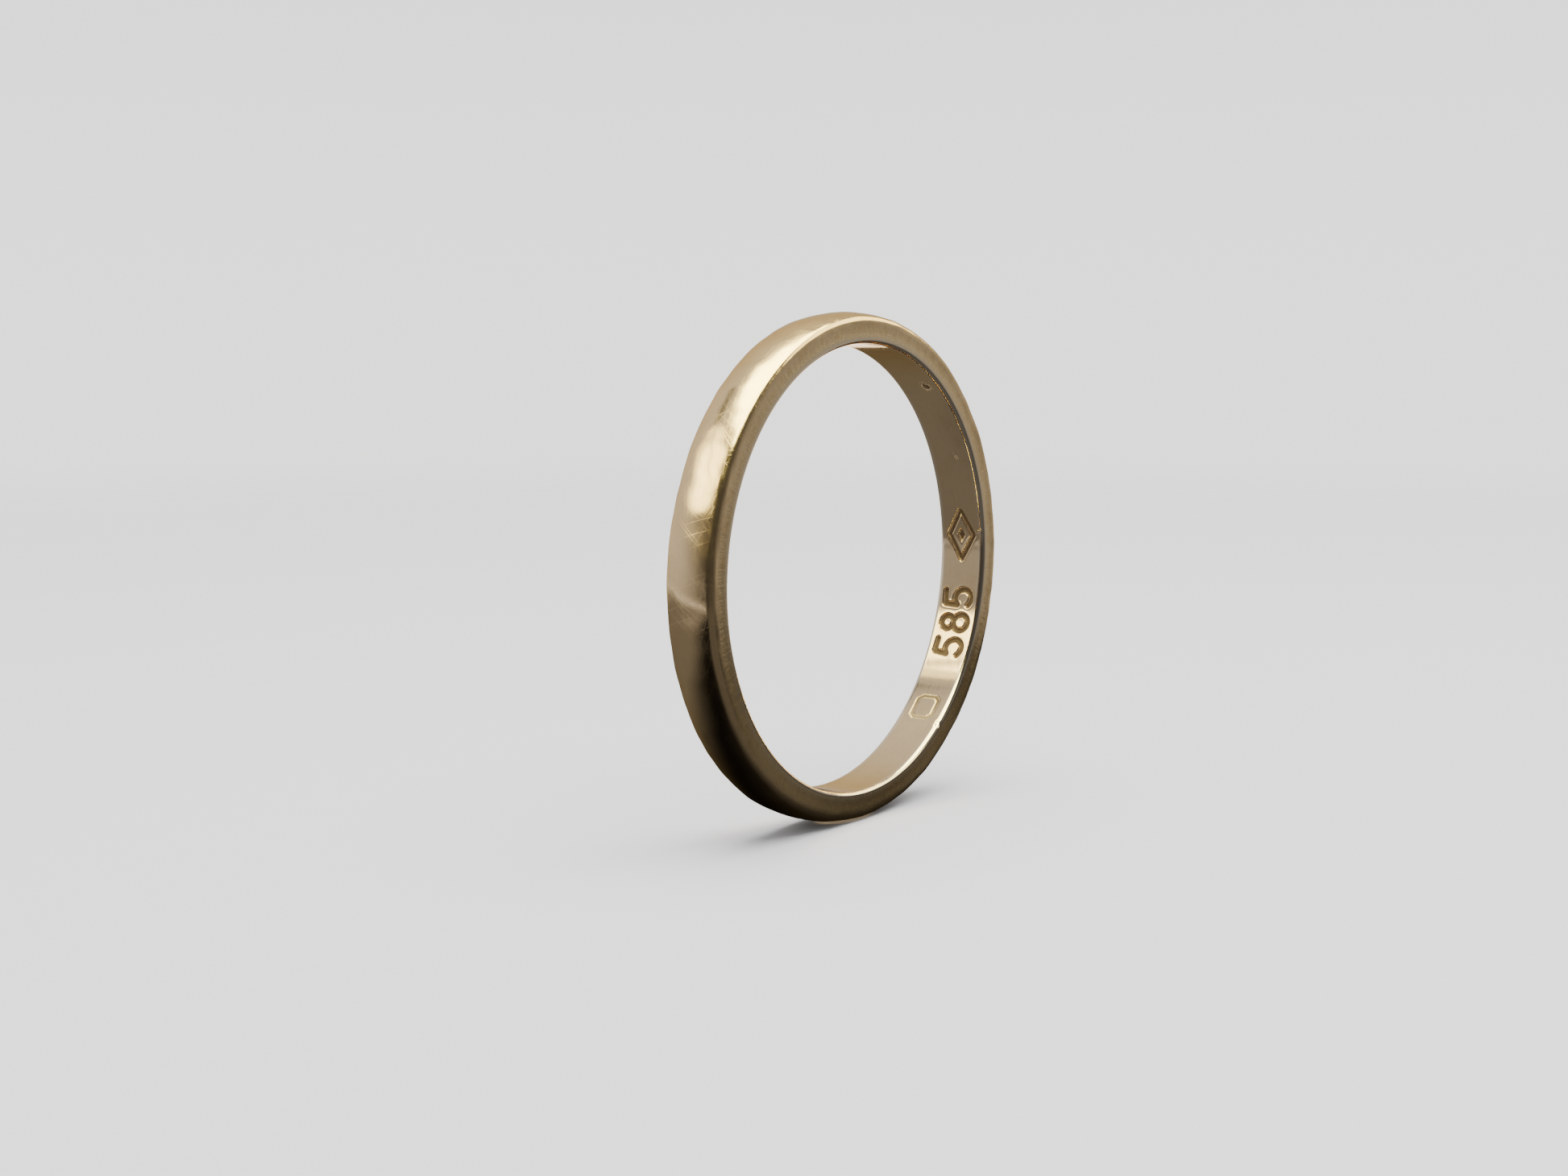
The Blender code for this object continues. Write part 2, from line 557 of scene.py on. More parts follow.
@dataclass
class Wear:
    """What years on a finger did to the surface."""

    seed: int = 7
    slant: float = 2.2
    wave_bands: tuple[WaveBand, ...] = (
        WaveBand(14, 7, 26, 0.0045 * MM),
        WaveBand(16, 28, 80, 0.0021 * MM),
    )
    corner_share: float = 0.8
    inner_share: float = 0.05
    shade_spread: float = 6.0
    dents: tuple[Dent, ...] = (
        # A dent's last number is how much shade is painted into it; the first three are dark pits.
        Dent(52.9, -0.34 * MM, (Zone.BORE,), 0.11 * MM, 0.03 * MM, 1.0),
        Dent(54.1, -0.28 * MM, (Zone.BORE,), 0.035 * MM, 0.006 * MM, 1.0),
        Dent(27.0, -0.25 * MM, (Zone.BORE,), 0.05 * MM, 0.004 * MM, 0.4),
        Dent(38.6, -0.93 * MM, (Zone.BREAK,), 0.06 * MM, 0.025 * MM),
        Dent(5.6, -0.84 * MM, (Zone.BREAK, Zone.BORE), 0.05 * MM, 0.03 * MM),
        Dent(-52.0, -0.9 * MM, (Zone.BREAK,), 0.12 * MM, 0.03 * MM),
        Dent(163.0, -0.72 * MM, (Zone.CORNER, Zone.DOME), 0.16 * MM, 0.006 * MM),
        Dent(214.0, 0.3 * MM, (Zone.DOME,), 0.2 * MM, 0.012 * MM),
        Dent(96.0, 0.5 * MM, (Zone.DOME,), 0.22 * MM, 0.012 * MM),
        Dent(20.0, 0.7 * MM, (Zone.CORNER, Zone.DOME), 0.18 * MM, 0.02 * MM),
        Dent(285.0, -0.2 * MM, (Zone.DOME,), 0.2 * MM, 0.014 * MM),
    )

    def waves(self) -> list[Wave]:
        """The waves, the same ones each time."""
        chance = np.random.default_rng(self.seed)
        found = []
        for band in self.wave_bands:
            for _ in range(band.number):
                count = int(chance.integers(band.fewest, band.most))
                tilt = chance.uniform(-self.slant, self.slant) * (count / band.fewest) ** 0.5
                height = band.height * (band.fewest / count) ** 0.7
                found.append(Wave(count, tilt, chance.uniform(0, 2 * pi), height))
        return found

    def relief(
        self, angles: np.ndarray, stations: Sequence[Station], half_width: float
    ) -> tuple[np.ndarray, np.ndarray]:
        """How far wear moves each point outwards from the metal, and where shade is painted into the pits.

        Args:
            angles: the columns' places round the ring.
            stations: the section.
            half_width: half the band's width.

        Returns:
            Two arrays of columns by stations: the height, below 0 in a hollow, and the painted shade.
        """
        along = np.array([s.along for s in stations])
        out = np.array([s.out for s in stations])
        shares = {Zone.DOME: 1.0, Zone.CORNER: self.corner_share}
        outer = np.array([shares.get(s.zone, self.inner_share) for s in stations])
        moved = np.zeros((len(angles), len(stations)))
        painted_shade = np.zeros_like(moved)
        for wave in self.waves():
            phase = wave.round_ring * angles[:, None] + wave.across * along[None] / half_width + wave.phase
            moved += wave.height * np.sin(phase) * outer
        for dent in self.dents:
            turn = (angles - radians(dent.angle) + pi) % (2 * pi) - pi
            marked = np.array([s.zone in dent.zones for s in stations])
            far = np.hypot(turn[:, None] * out[None], along[None] - dent.along) / dent.size
            hollow = np.exp(-(far**2)) * marked
            moved -= dent.depth * hollow
            # The dents' dark share is painted shade, spread a little past each hollow.
            painted_shade = np.maximum(painted_shade, dent.shaded * np.minimum(1.0, self.shade_spread * hollow))
        return moved, painted_shade


# ---- The gold ----


@dataclass(frozen=True)
class Polish:
    """How one surface of the gold is finished.

    Attributes:
        roughness: its mean roughness.
        spread: how much the roughness varies over it.
        grain: the height of its finest relief.
    """

    roughness: float
    spread: float
    grain: float


@dataclass(frozen=True)
class Pattern:
    """Soft noise over the unrolled band.

    Attributes:
        scale: features for each millimetre.
        detail: octaves of finer noise.
        stretch: what multiplies the places round the ring, along its axis and out from it.
    """

    scale: float
    detail: float
    stretch: tuple[float, float, float] = (1.0, 1.0, 1.0)

    def read(self, tree: Tree, place: Sequence[Value]) -> Value:
        """The pattern at a place on the unrolled band."""
        parts = [part if factor == 1.0 else part * factor for part, factor in zip(place, self.stretch)]
        return tree.noise(tree.vector(*parts), self.scale, self.detail)


@dataclass(frozen=True)
class Hairlines:
    """Fine scratches that run roughly one way.

    Attributes:
        slant: their direction from round the ring, in degrees. It also shifts the pattern.
        scale: how close they lie.
        width: how wide they are.
        length_scale: how slowly the pattern runs down a scratch.
        gap_scale: how fast it runs from one scratch to the next.
    """

    slant: float
    scale: float
    width: float
    length_scale: float = 0.22
    gap_scale: float = 3.0

    def read(self, tree: Tree, around: Value, along: Value) -> Value:
        """1 on a scratch and 0 off it."""
        turn = self.slant * DEGREE
        down = around * cos(turn) + along * sin(turn)
        across = along * cos(turn) - around * sin(turn)
        place = tree.vector(
            down * self.length_scale + self.slant, across * self.gap_scale, self.slant * 1.7
        )
        cells = tree.node(
            "ShaderNodeTexVoronoi",
            {"feature": "DISTANCE_TO_EDGE"},
            {"Vector": place, "Scale": self.scale},
        )
        return Value(tree, cells.outputs["Distance"]).between(self.width, 0.0)


@dataclass(frozen=True)
class WornGold:
    """14 karat yellow gold with a worn polish outside, satin sides and a bright bore.

    Attributes:
        burnished: the gold on the inner edges, which wear keeps bright.
        edge_tint: its colour at a glancing angle.
        radial: the pattern of the sides' brushing, which runs out from the bore.
        dimple: the soft, wide unevenness outside.
        scratch_depths: how deep the scratches are outside and on the sides.
        shade_grain: the height of the grain where shade is painted.
        shade_cover: how much of the gold the painted shade hides.
    """

    colour: Colour = (0.84, 0.612, 0.345)
    inner_colour: Colour = (0.82, 0.61, 0.365)
    burnished: Colour = (0.88, 0.74, 0.56)
    edge_tint: Colour = (0.82, 0.64, 0.40)
    tarnish: Colour = (0.68, 0.49, 0.27)
    # Near black: painted shade for the punched marks and pits.
    painted_shade: Colour = (0.050, 0.030, 0.016)
    dimple_height: float = 0.0065 * MM
    dome: Polish = Polish(0.165, 0.10, 0.0013 * MM)
    side: Polish = Polish(0.27, 0.08, 0.0038 * MM)
    bore: Polish = Polish(0.09, 0.06, 0.0004 * MM)
    cloud: Pattern = Pattern(0.55, 3.0)
    blotch: Pattern = Pattern(4.5, 4.0)
    streak: Pattern = Pattern(3.0, 4.0, (0.16, 5.0, 5.0))
    grain: Pattern = Pattern(11.0, 5.0)
    radial: Pattern = Pattern(1.0, 4.0, (5.0, 1.0, 0.9))
    dimple: Pattern = Pattern(1.3, 1.0)
    hairlines: tuple[Hairlines, ...] = (
        Hairlines(8, 1.1, 0.020),
        Hairlines(-24, 0.8, 0.016),
        Hairlines(52, 0.9, 0.018),
        Hairlines(-71, 0.7, 0.014),
    )
    scratch_depths: Point2 = (0.0006 * MM, 0.0012 * MM)
    shade_grain: float = 0.012 * MM
    shade_cover: float = 0.95

    def material(self, mean_radius: float) -> bpy.types.Material:
        """Makes the gold.

        Args:
            mean_radius: turns an angle round the ring into a length.

        Returns:
            The material.
        """
        made = bpy.data.materials.new("worn_gold")
        tree = Tree.of_material(made)
        zones = [tree.attribute(name) for name in ("satin", "inside", "inner_edge", "punched")]
        side, bore, _, mark = zones
        outside = 1 - side.greater(bore)
        place = self._unrolled(tree, mean_radius)
        cloud, blotch, streak, grain, radial, dimple = (
            pattern.read(tree, place)
            for pattern in (self.cloud, self.blotch, self.streak, self.grain, self.radial, self.dimple)
        )
        scratches = self._scratches(tree, place[0], place[1])
        rough = outside * self._roughness(self.dome, cloud * 0.6 + blotch * 0.4)
        rough = rough + side * self._roughness(self.side, blotch * 0.5 + radial * 0.5)
        rough = rough + bore * self._roughness(self.bore, streak)
        rough = rough + scratches * outside * 0.06 + mark * 0.4
        satin = side**4 * self.side.grain
        lift = grain * (satin + outside * self.dome.grain)
        lift = lift + dimple * outside * self.dimple_height
        lift = lift + streak * bore * self.bore.grain * 2
        lift = lift + (blotch * 2.6 + radial * 2.2) * satin
        lift = lift - scratches * (outside**3 * self.scratch_depths[0] + side**4 * self.scratch_depths[1])
        lift = lift + grain * mark * self.shade_grain
        bump = tree.node("ShaderNodeBump", None, {"Strength": 1.0, "Distance": 1.0, "Height": lift})
        shader = tree.node(
            "ShaderNodeBsdfPrincipled",
            None,
            {
                "Base Color": self._colour(tree, zones, (cloud, blotch, streak)),
                # Less metal in the punched marks and pits, under their dark painted shade.
                "Metallic": 1 - mark * 0.55,
                "Roughness": rough,
                "Specular Tint": (*self.edge_tint, 1.0),
                "Normal": bump.outputs["Normal"],
            },
        )
        tree.node("ShaderNodeOutputMaterial", None, {"Surface": shader.outputs["BSDF"]})
        return made

    @staticmethod
    def _roughness(polish: Polish, pattern: Value) -> Value:
        """The roughness of one surface, from a pattern around 0.5."""
        return polish.roughness + (pattern - 0.5) * (2 * polish.spread)

    @staticmethod
    def _unrolled(tree: Tree, mean_radius: float) -> tuple[Value, Value, Value]:
        """Places on the unrolled band, in millimetres, cut at its lowest point.

        Returns:
            The distance round the ring, the place along its axis and the distance from the axis.
        """
        x, y, z = tree.place()
        around = x.angle_from(z) * (mean_radius / MM)
        out = (x * x + z * z) ** 0.5 / MM
        return around, y / MM, out

    def _scratches(self, tree: Tree, around: Value, along: Value) -> Value:
        """Fine hairlines in several directions, 1 on a line and 0 off it."""
        first, *others = self.hairlines
        total = first.read(tree, around, along)
        for lines in others:
            total = total.greater(lines.read(tree, around, along))
        return total

    def _colour(
        self, tree: Tree, zones: Sequence[Value], patterns: Sequence[Value]
    ) -> bpy.types.NodeSocket:
        """The gold's colour, with tarnish in clouds and painted shade in the marks and pits."""
        side, bore, edge, mark = zones
        cloud, blotch, streak = patterns
        dull = cloud.between(0.42, 0.68) * 0.35 + blotch.between(0.48, 0.7) * (side * 0.6 + 0.15)
        dull = dull + bore * streak.between(0.5, 0.75) * 0.25
        clean = tree.mix(bore.greater(side), self.colour, self.inner_colour)
        gold = tree.mix(edge, tree.mix(dull, clean, self.tarnish), self.burnished)
        # Painted shade: the punched marks and pits turn nearly black.
        return tree.mix(mark * self.shade_cover, gold, self.painted_shade)


# ---- The ring ----


@dataclass
class WeddingBand:
    """The whole ring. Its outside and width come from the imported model.

    Attributes:
        side_wall: the height of a side, as if it ran to the dome.
        punch_slope: half the width of a stroke's slope.
        burr: the height of the metal raised beside a stroke.
        burr_place: where the burr's top is, in slopes from the stroke's edge.
        mark_reach: how far round from +X there are marks, in radians.
        worn_step: the step between the worn punch's columns, in fine steps.
        small_dent: dents with a smaller half width have close columns.
        dent_reach: how far those go, in half widths of the dent.
        fine_margin: how far the close columns go past the marks.
    """

    outside_radius: float
    half_width: float
    side_wall: float = 0.96 * MM
    crown_rise: float = 0.19 * MM
    corner_radius: float = 0.25 * MM
    inner_break: float = 0.17 * MM
    mark_depth: float = 0.1 * MM
    mark_gap: float = 0.88 * MM
    digit_margin: float = 0.23 * MM
    lozenge_margin: float = 0.18 * MM
    lozenge_length: float = 2.3 * MM
    lozenge_angle: float = 4.2 * DEGREE
    punch_slope: float = 0.03 * MM
    burr: float = 0.006 * MM
    burr_place: float = 1.7
    mark_reach: float = 1.2
    worn_angle: float = -47.0 * DEGREE
    worn_step: float = 2.2
    small_dent: float = 0.15 * MM
    dent_reach: float = 2.2
    coarse_step: float = 1.0 * DEGREE
    fine_step: float = 0.028 * MM
    fine_margin: float = 0.25 * MM
    finish: WornGold = field(default_factory=WornGold)
    wear: Wear = field(default_factory=Wear)

    @property
    def bore_radius(self) -> float:
        """The radius of the finger hole."""
        return self.outside_radius - self.crown_rise - self.side_wall

    @property
    def bore_flat(self) -> float:
        """The width of the bore between its rounded edges."""
        return 2 * (self.half_width - self.inner_break)

    def marks(self) -> tuple[Number585, Lozenge]:
        """The number and the lozenge, placed along the bore."""
        middle = self.lozenge_angle * self.bore_radius
        lozenge = Lozenge(middle, self.lozenge_length, self.bore_flat - 2 * self.lozenge_margin)
        number_end = middle - self.lozenge_length / 2 - self.mark_gap
        return Number585(number_end, self.bore_flat - 2 * self.digit_margin), lozenge

    def worn_punch(self) -> WornPunch:
        """The older mark before the number."""
        return WornPunch(self.worn_angle * self.bore_radius)

    def _fine_zones(self) -> list[tuple[float, float, float]]:
        """The stretches that need close columns, as start, end and step, in radians.

        Returns:
            The stretches in order. None overlaps the next.
        """
        radius = self.bore_radius
        number, lozenge = self.marks()
        worn = self.worn_punch()
        reach = worn.size[0] + worn.line + worn.slope
        last = lozenge.middle_arc + lozenge.length / 2
        wanted = [
            (number.start_arc - self.fine_margin, last + self.fine_margin, 1.0),
            (worn.middle_arc - reach, worn.middle_arc + reach, self.worn_step),
        ]
        for dent in self.wear.dents:
            if dent.size < self.small_dent:
                middle = radians(dent.angle) * radius
                reach = self.dent_reach * dent.size
                wanted.append((middle - reach, middle + reach, 1.0))
        found: list[tuple[float, float, float]] = []
        for start, end, coarseness in sorted(wanted):
            if found and start <= found[-1][1]:
                start, coarseness = found[-1][0], min(coarseness, found[-1][2])
                end = max(end, found.pop()[1])
            found.append((start, end, coarseness))
        fine = self.fine_step / radius
        return [(start / radius, end / radius, coarseness * fine) for start, end, coarseness in found]

    def angles(self) -> np.ndarray:
        """The columns' places round the ring: close together at the marks and at small dents."""
        zones = self._fine_zones()
        starts = [start for start, _, _ in zones[1:]] + [zones[0][0] + 2 * pi]
        found: list[float] = []
        for (start, end, step), following in zip(zones, starts):
            found += list(np.linspace(start, end, round((end - start) / step), endpoint=False))
            count = max(1, round((following - end) / self.coarse_step))
            found += list(np.linspace(end, following, count, endpoint=False))
        return np.array(found)

    def punched(self, angles: np.ndarray, stations: Sequence[Station]) -> tuple[np.ndarray, np.ndarray]:
        """The marks' relief and the shade painted into them.

        Args:
            angles: the columns' places round the ring.
            stations: the section.

        Returns:
            Two arrays of columns by stations: the height, below 0 in a mark, and the painted shade.
        """
        turn = (angles + pi) % (2 * pi) - pi
        along = np.array([s.along for s in stations])
        places = np.stack(np.broadcast_arrays(turn[:, None] * self.bore_radius, along[None]), -1)
        in_bore = np.array([s.zone is Zone.BORE for s in stations])
        near = (np.abs(places[..., 0]) < self.mark_reach * self.bore_radius) & in_bore
        distance = np.full(near.shape, 1.0)
        distance[near] = np.minimum(*(mark.distance(places[near]) for mark in self.marks()))
        share = np.clip((self.punch_slope - distance) / (2 * self.punch_slope), 0.0, 1.0)
        rim = np.exp(-((distance / self.punch_slope - self.burr_place) ** 2))
        punch = self.worn_punch()
        worn = np.zeros(near.shape)
        worn[near] = punch.share(places[near])
        sunk = share * share * (3 - 2 * share)
        height = self.burr * rim - self.mark_depth * sunk - punch.depth * worn
        return height, np.maximum(sunk, worn)

    def build(self) -> bpy.types.Object:
        """Makes the ring's mesh.

        Returns:
            The ring.
        """
        heights = self.side_wall, self.crown_rise
        section = Section(self.bore_radius, self.half_width, *heights, self.corner_radius, self.inner_break)
        stations = section.stations()
        angles = self.angles()
        punched, shaded = self.punched(angles, stations)
        worn, painted_shade = self.wear.relief(angles, stations, self.half_width)
        lift = worn + punched
        normal = np.array([s.normal for s in stations])
        out = np.array([s.out for s in stations]) + lift * normal[:, 0]
        along = np.array([s.along for s in stations]) + lift * normal[:, 1]
        points = np.stack([out * np.cos(angles)[:, None], along, out * np.sin(angles)[:, None]], -1)
        mesh = bpy.data.meshes.new("band_gold")
        mesh.from_pydata(points.reshape(-1, 3).tolist(), [], self._faces(*lift.shape).tolist())
        mesh.shade_smooth()
        zones = [s.zone for s in stations]
        self._store(mesh, "satin", self._share(zones, (Zone.SIDE,), len(angles)))
        self._store(mesh, "inside", self._share(zones, (Zone.BORE, Zone.BREAK), len(angles)))
        self._store(mesh, "inner_edge", self._share(zones, (Zone.BREAK,), len(angles)))
        # The punched marks and pits, where the gold gets its dark painted shade.
        self._store(mesh, "punched", np.maximum(shaded, painted_shade))
        return placed("band_gold", mesh)

    @staticmethod
    def _faces(columns: int, rows: int) -> np.ndarray:
        """Quads between neighbouring columns and rows, both closed on themselves, facing out."""
        i, j = np.meshgrid(np.arange(columns), np.arange(rows), indexing="ij")
        right, below = (i + 1) % columns, (j + 1) % rows
        corners = [i * rows + j, i * rows + below, right * rows + below, right * rows + j]
        return np.stack(corners, -1).reshape(-1, 4)

    @staticmethod
    def _share(zones: Sequence[Zone], wanted: Sequence[Zone], columns: int) -> np.ndarray:
        """1 on the wanted zones, 0 off them, with a soft step between, for each column."""
        line = np.array([float(zone in wanted) for zone in zones])
        for _ in range(3):
            line = (np.roll(line, 1) + line + np.roll(line, -1)) / 3
        return np.broadcast_to(line, (columns, len(line)))

    @staticmethod
    def _store(mesh: bpy.types.Mesh, name: str, values: np.ndarray) -> None:
        """Stores one number for each point of the mesh."""
        layer = mesh.attributes.new(name, "FLOAT", "POINT")
        layer.data.foreach_set("value", np.ascontiguousarray(values, np.float32).ravel())

    def dress(self, ring: bpy.types.Object) -> None:
        """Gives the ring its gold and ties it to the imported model.

        Args:
            ring: the ring's object.
        """
        ring.data.materials.append(self.finish.material((self.bore_radius + self.outside_radius) / 2))
        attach(ring, "root")
        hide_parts("band")


# ---- The studio ----


def flat(name: str, x: float, y: float, z: float = 0.0) -> bpy.types.Mesh:
    """A rectangle that reaches x and y to each side, at height z."""
    mesh = bpy.data.meshes.new(name)
    mesh.from_pydata([(-x, -y, z), (x, -y, z), (x, y, z), (-x, y, z)], [], [(0, 1, 2, 3)])
    return mesh


def direction(azimuth: float, elevation: float) -> Vector:
    """A unit vector. Azimuth 0 is +Y and 90 is +X; both are in degrees."""
    a, e = radians(azimuth), radians(elevation)
    return Vector((sin(a) * cos(e), cos(a) * cos(e), sin(e)))


@dataclass(frozen=True)
class Softbox:
    """A soft lamp that faces the ring.

    Attributes:
        name: what it is called.
        azimuth: its direction from the ring, in degrees.
        elevation: its height over the horizon, in degrees.
        spread: the angles that it covers, across and up, in degrees.
        radiance: how bright its face is.
        tint: the colour of its light.
        shines: whether it lights dull surfaces.
        mirrored: whether polished surfaces show it.
        distance: how far off it stands.
    """

    name: str
    azimuth: float
    elevation: float
    spread: Point2
    radiance: float
    tint: Colour = (1.0, 1.0, 1.0)
    shines: bool = False
    mirrored: bool = True
    distance: float = 0.3

    def build(self) -> None:
        """Hangs the lamp."""
        lamp = bpy.data.lights.new(self.name, "AREA")
        lamp.shape = "ELLIPSE"
        lamp.size = 2 * self.distance * tan(radians(self.spread[0] / 2))
        lamp.size_y = 2 * self.distance * tan(radians(self.spread[1] / 2))
        lamp.energy = self.radiance * pi * (pi / 4) * lamp.size * lamp.size_y
        lamp.color = self.tint
        hung = placed(self.name, lamp)
        towards = direction(self.azimuth, self.elevation)
        hung.location = towards * self.distance
        hung.rotation_euler = towards.to_track_quat("Z", "Y").to_euler()
        hung.visible_camera = False
        hung.visible_diffuse = self.shines
        hung.visible_glossy = self.mirrored


@dataclass(frozen=True)
class Card:
    """A plain card that only reflections show.

    Attributes:
        name: what it is called.
        centre: its middle.
        facing: the direction that it faces.
        size: its width and height.
        shade: its brightness.
        roll: how far it is turned in its own plane, in degrees.
    """

    name: str
    centre: Vector
    facing: Vector
    size: Point2
    shade: float
    roll: float = 0.0

    def colour(self, tree: Tree) -> Any:
        """Its colour, which is the same all over."""
        return (self.shade, self.shade, self.shade, 1.0)

    def build(self) -> None:
        """Stands the card up."""
        mesh = flat(self.name, self.size[0] / 2, self.size[1] / 2)
        card = placed(self.name, mesh)
        card.location = self.centre
        turned = Quaternion((0, 0, 1), radians(self.roll))
        card.rotation_euler = (self.facing.to_track_quat("Z", "Y") @ turned).to_euler()
        material = bpy.data.materials.new(self.name)
        tree = Tree.of_material(material)
        glow = tree.node("ShaderNodeEmission", None, {"Color": self.colour(tree)})
        tree.node("ShaderNodeOutputMaterial", None, {"Surface": glow.outputs[0]})
        mesh.materials.append(material)
        for kind in ("camera", "diffuse", "shadow", "transmission"):
            setattr(card, f"visible_{kind}", False)


@dataclass(frozen=True)
class GroundCard(Card):
    """A card that faces up and darkens towards its middle line. Its shade is that of the near side.

    Attributes:
        far_shade: its brightness on the far side of the line, towards +Y.
        line_shade: its brightness on the line.
        line_reach: how far from the line the darkening starts.
    """

    far_shade: float = 0.185
    line_shade: float = 0.004
    line_reach: float = 8.5 * MM

    def colour(self, tree: Tree) -> Any:
        """Its colour. The card's own Y runs towards the near side."""
        _, off_line, _ = tree.place()
        away = (off_line * off_line) ** 0.5
        plain = tree.mix(off_line.between(0.0, MM), (self.far_shade,) * 3, (self.shade,) * 3)
        return tree.mix(away.between(0.0, self.line_reach), (self.line_shade,) * 3, plain)


@dataclass
class Studio:
    """The floor, the light and the camera.

    Attributes:
        backdrop: how bright the backdrop is low down and high up.
        backdrop_rise: the heights between which that changes.
        fill: how brightly the room lights dull surfaces.
        table: what reflections show below the table's edge, by azimuth in degrees.
        room: what they show above it.
        slant_turn: the turns between which the edge falls away.
        slant_drop: how far it falls.
        strip_top: the heights between which a narrow dark strip above the edge starts.
        strip_foot: the heights between which it ends.
        strip_share: how much of the room it hides.
        table_edge: the heights between which the room gives way to the table.
        floor_fade: the distances between which the floor fades out.
        pale: the tint of the lamps overhead.
        warm: the tint of the windows.
        aim: what the camera looks at.
    """

    floor_height: float
    backdrop: Point2 = (1.95, 1.55)
    backdrop_tint: Colour = (1.0, 0.995, 0.98)
    backdrop_rise: Point2 = (0.0, 0.35)
    fill: float = 0.9
    table: tuple[Point2, ...] = (
        (-180, 0.08), (-91, 0.06), (-84, 1.30), (-50, 1.00), (-20, 0.80), (38, 0.75), (47, 3.40),
        (64, 3.40), (76, 0.70), (110, 0.50), (140, 0.14), (180, 0.08),
    )
    room: tuple[Point2, ...] = (
        (-180, 0.07), (-87, 0.05), (-78, 0.13), (-60, 0.42), (-40, 0.72), (-20, 0.80), (10, 0.90),
        (40, 0.88), (60, 0.80), (85, 0.55), (120, 0.41), (140, 0.22), (160, 0.13), (180, 0.07),
    )
    slant_turn: Point2 = (0.26, 0.45)
    slant_drop: float = 0.155
    strip_top: Point2 = (-0.155, -0.175)
    strip_foot: Point2 = (-0.18, -0.20)
    strip_share: float = 0.5
    strip_colour: Colour = (0.1, 0.1, 0.1)
    table_edge: Point2 = (-0.20, -0.24)
    floor_shade: float = 0.66
    floor_fade: Point2 = (0.05, 0.25)
    pale: Colour = (1.0, 0.99, 0.46)
    warm: Colour = (1.0, 0.93, 0.46)
    card_distance: float = 0.25
    camera_azimuth: float = 53.68
    camera_elevation: float = 6.85
    camera_distance: float = 77.54 * MM
    aim: Vector = field(default_factory=lambda: Vector((-1.403, 1.757, -0.745)) * MM)
    lens: float = 48.1

    def build(self) -> None:
        """Sets up everything round the ring."""
        self._world()
        self._floor()
        self._lamps()
        self._cards()
        self._camera()

    def _world(self) -> None:
        """A pale backdrop, and for reflections a room that is darker towards the viewer."""
        world = bpy.data.worlds.new("pale_room")
        tree = Tree.of_material(world)
        x, y, z = tree.place("Generated")
        path = tree.node("ShaderNodeLightPath").outputs
        seen, glossy = (Value(tree, path[name]) for name in ("Is Camera Ray", "Is Glossy Ray"))
        turn = x.angle_from(y) / (2 * pi) + 0.5
        height = z - turn.between(*self.slant_turn) * self.slant_drop
        strip = height.between(*self.strip_top) - height.between(*self.strip_foot)
        walls = self._round_ramp(tree, turn, self.room)
        walls = tree.mix(strip * self.strip_share, walls, self.strip_colour)
        table = self._round_ramp(tree, turn, self.table)
        walls = tree.mix(height.between(*self.table_edge), walls, table)
        low, high = (tuple(shade * part for part in self.backdrop_tint) for shade in self.backdrop)
        backdrop = tree.mix(z.between(*self.backdrop_rise), low, high)
        colour = tree.mix(glossy, (self.fill,) * 3, walls)
        colour = tree.mix(seen, colour, backdrop)
        back = tree.node("ShaderNodeBackground", None, {"Color": colour})
        tree.node("ShaderNodeOutputWorld", None, {"Surface": back.outputs[0]})
        bpy.context.scene.world = world

    @staticmethod
    def _round_ramp(tree: Tree, turn: Value, shades: Sequence[Point2]) -> bpy.types.NodeSocket:
        """Greys that change with the turn, which is 0 at -180 degrees and 1 at 180."""
        stops = [((azimuth + 180) / 360, (shade, shade, shade)) for azimuth, shade in shades]
        return tree.node("ShaderNodeValToRGB", {"stops": stops}, {"Fac": turn}).outputs["Color"]

    def _floor(self) -> None:
        """A pale floor that fades into the backdrop away from the ring."""
        reach = 2 * self.floor_fade[1]
        mesh = flat("floor", reach, reach, self.floor_height)
        material = bpy.data.materials.new("pale_floor")
        tree = Tree.of_material(material)
        x, y, _ = tree.place()
        away = ((x * x + y * y) ** 0.5).between(*self.floor_fade)
        pale = tree.node("ShaderNodeBsdfDiffuse", None, {"Color": (self.floor_shade,) * 3 + (1.0,)})
        clear = tree.node("ShaderNodeBsdfTransparent")
        both = tree.node("ShaderNodeMixShader", None, {0: away, 1: pale.outputs[0], 2: clear.outputs[0]})
        tree.node("ShaderNodeOutputMaterial", None, {"Surface": both.outputs[0]})
        mesh.materials.append(material)
        floor = placed("floor", mesh)
        floor.visible_glossy = False

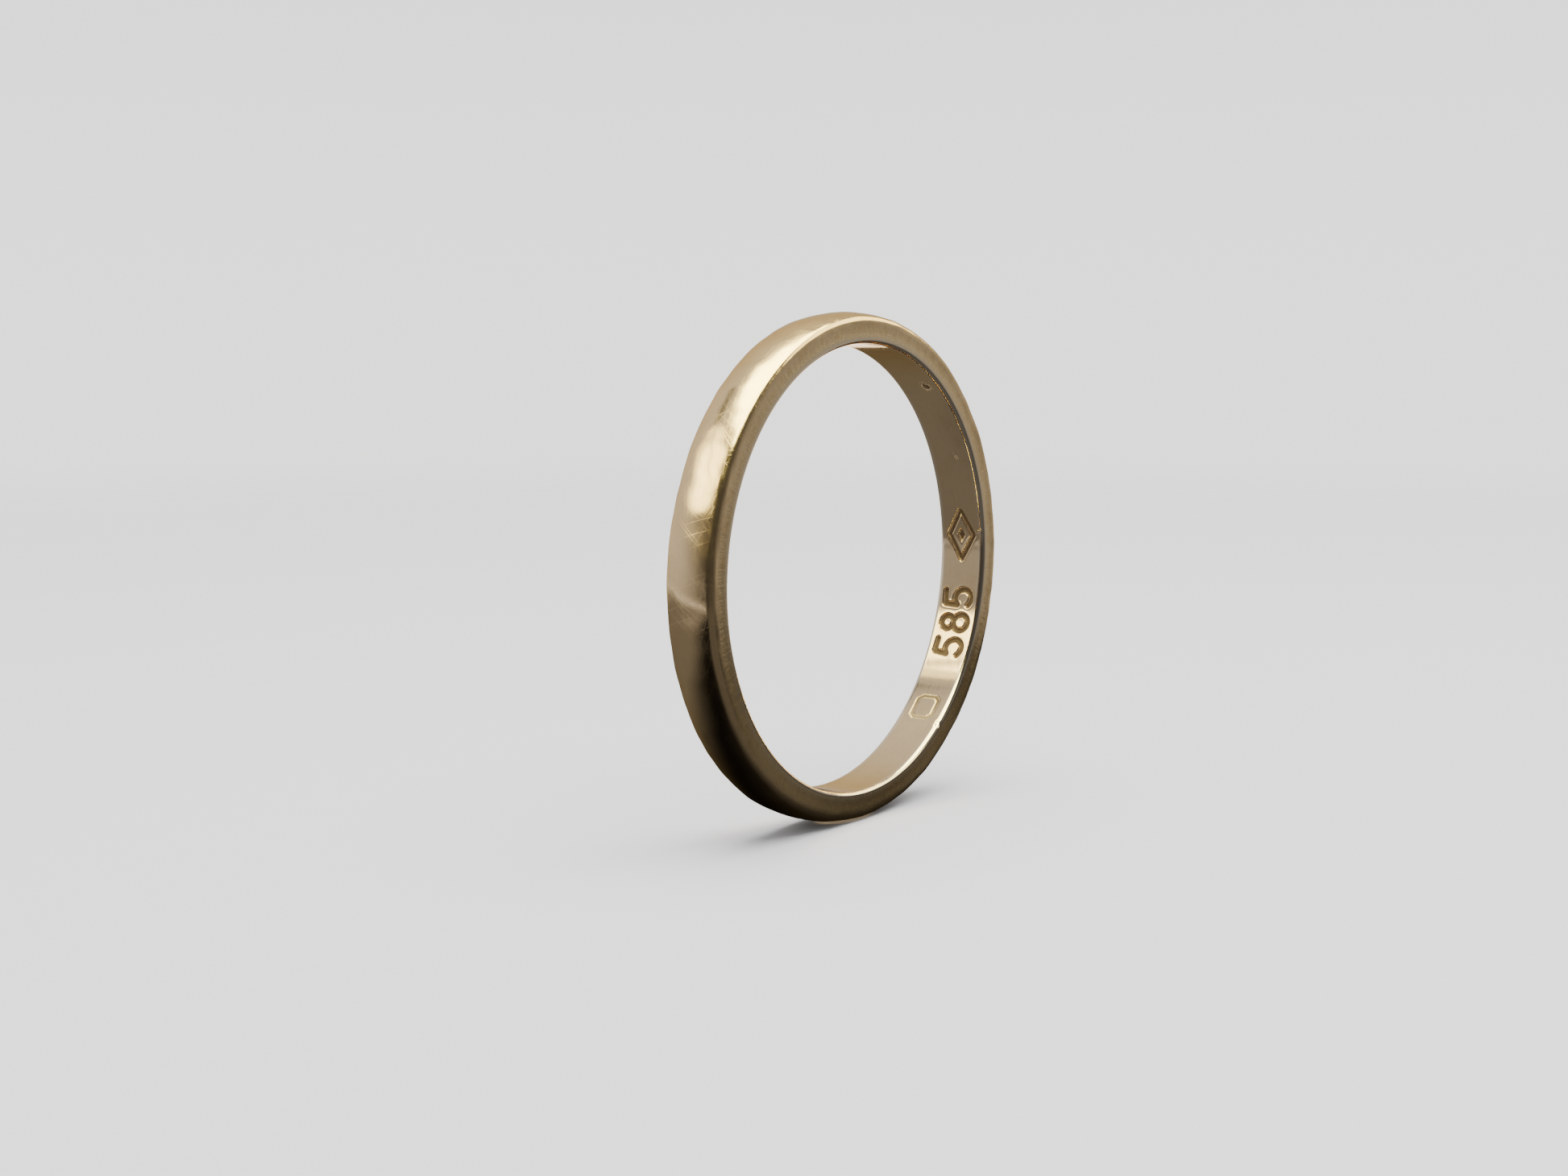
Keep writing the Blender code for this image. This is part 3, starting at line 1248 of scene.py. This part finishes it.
    def _lamps(self) -> None:
        """A broad lamp overhead for the floor, and soft warm windows for the gold to reflect."""
        for lamp in (
            Softbox("overhead", 180, 82, (70, 70), 7.0, shines=True, mirrored=False),
            Softbox("overhead_glow", 180, 83, (68, 66), 11.0, self.pale),
            Softbox("overhead_edge", 180, 83, (77, 75), 1.7, self.pale, distance=0.33),
            Softbox("left_window", -57, 37, (40, 28), 4.4, self.warm),
            Softbox("left_window_edge", -54, 37, (53, 32), 2.0, self.warm, distance=0.33),
            Softbox("right_window", 118, 32, (52, 33), 4.6, self.warm),
        ):
            lamp.build()

    def _cards(self) -> None:
        """What the polished gold reflects besides the room: dark ground, a beam, a bar, a low wall."""
        up = Vector((0, 0, 1))
        ground = Vector((3 * MM, 1.5 * MM, self.floor_height + 0.1 * MM))
        beam, bar, front = direction(-14, 50), direction(-54, 40), direction(126, 0)
        wall = front * 22 * MM + up * (self.floor_height + 2 * MM)
        for card in (
            GroundCard("dark_ground", ground, up, (0.086, 0.110), 0.11),
            Card("dim_beam", beam * self.card_distance, -beam, (0.078, 0.028), 0.16),
            Card("window_bar", bar * self.card_distance, -bar, (0.150, 0.008), 1.0, roll=28),
            Card("low_wall", wall, -front, (0.036, 0.004), 0.04),
        ):
            card.build()

    def _camera(self) -> None:
        """The camera, level and looking slightly down at the ring."""
        lens = bpy.data.cameras.new("camera")
        lens.lens = self.lens
        lens.clip_start = 1 * MM
        lens.clip_end = 10
        camera = placed("camera", lens)
        view = direction(self.camera_azimuth, -self.camera_elevation)
        camera.location = self.aim - view * self.camera_distance
        camera.rotation_euler = view.to_track_quat("-Z", "Y").to_euler()
        bpy.context.scene.camera = camera


def main() -> None:
    """Builds the ring and the studio round it."""
    logging.basicConfig(level=logging.INFO, format="%(name)s: %(message)s")
    low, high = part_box("band")
    band = WeddingBand(outside_radius=(high[2] - low[2]) / 2, half_width=(high[1] - low[1]) / 2)
    ring = band.build()
    band.dress(ring)
    log.info("%s: bore %.2f mm, %d faces", ring.name, 2 * band.bore_radius / MM, len(ring.data.polygons))
    Studio(floor_height=low[2]).build()


if __name__ == "__main__":
    main()
